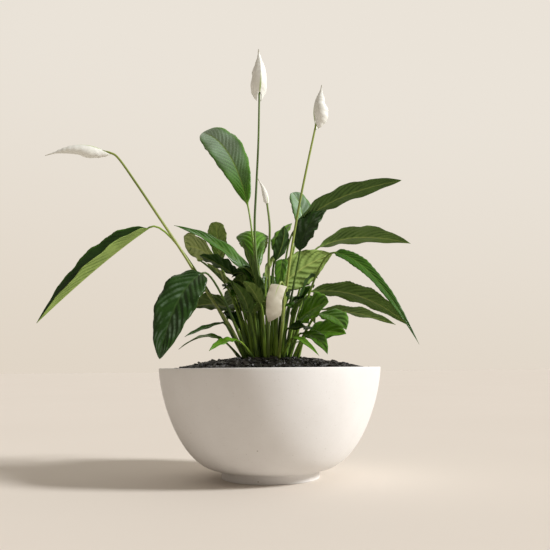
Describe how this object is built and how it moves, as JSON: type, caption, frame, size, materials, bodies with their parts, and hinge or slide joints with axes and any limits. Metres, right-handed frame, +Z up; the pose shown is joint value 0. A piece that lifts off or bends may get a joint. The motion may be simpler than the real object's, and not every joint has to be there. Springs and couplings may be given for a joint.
{
  "type": "potted peace lily",
  "caption": "Peace lily in a low round bowl planter: arching pointed leaves and curled white spathes on tall stalks, rising from bark mulch.",
  "frame": {"origin": "centre of the flat underside of the bowl's foot", "axes": "+Z up, -Y towards the front of the plant, +X to its right as seen from the front"},
  "size_m": [0.6174, 0.3612, 0.7064],
  "materials": {
    "bowl": "matte, fine grain with a few pinholes",
    "soil": "matte, crumbly",
    "bark": "rough dark chips",
    "leaf": "waxy semi-gloss, paler underneath",
    "stalk": "satin",
    "spathe": "satin, slightly translucent",
    "spent_spathe": "matte, papery",
    "spadix": "matte, knobbly"
  },
  "bodies": {
    "root": {"bark_mulch": "bark", "leaf_back_left_arch": "leaf", "leaf_back_low": "leaf", "leaf_back_right_arch": "leaf", "leaf_centre_back": "leaf", "leaf_centre_pale": "leaf", "leaf_centre_pointed": "leaf", "leaf_far_left_arch": "leaf", "leaf_inner_bright": "leaf", "leaf_inner_dark_wide": "leaf", "leaf_inner_hanging": "leaf", "leaf_inner_left_narrow": "leaf", "leaf_inner_narrow": "leaf", "leaf_inner_pale": "leaf", "leaf_inner_right_dark": "leaf", "leaf_left_back_round": "leaf", "leaf_left_droop": "leaf", "leaf_left_inner_dark": "leaf", "leaf_left_inner_olive": "leaf", "leaf_left_long_narrow": "leaf", "leaf_left_mid_dark": "leaf", "leaf_left_mid_pale": "leaf", "leaf_low_left_back": "leaf", "leaf_low_left_front": "leaf", "leaf_low_left_hang": "leaf", "leaf_low_left_side": "leaf", "leaf_low_right_front": "leaf", "leaf_low_right_hang": "leaf", "leaf_low_right_side": "leaf", "leaf_low_right_thin": "leaf", "leaf_low_right_top": "leaf", "leaf_right_back_blue": "leaf", "leaf_right_dark_gloss": "leaf", "leaf_right_droop": "leaf", "leaf_right_high": "leaf", "leaf_right_low": "leaf", "leaf_right_mid": "leaf", "leaf_right_pale_wide": "leaf", "leaf_right_upper_long": "leaf", "leaf_soil_sprout": "leaf", "leaf_top_left_tall": "leaf", "planter_bowl": "bowl", "potting_soil": "soil", "spadix_bud": "spadix", "spadix_centre": "spadix", "spadix_left": "spadix", "spadix_right": "spadix", "spadix_spent": "spadix", "spathe_bud": "spathe", "spathe_centre": "spathe", "spathe_left": "spathe", "spathe_right": "spathe", "spathe_spent": "spent_spathe", "stalk_bud": "stalk", "stalk_centre": "stalk", "stalk_left": "stalk", "stalk_right": "stalk", "stalk_spent": "stalk"}
  },
  "joints": []
}
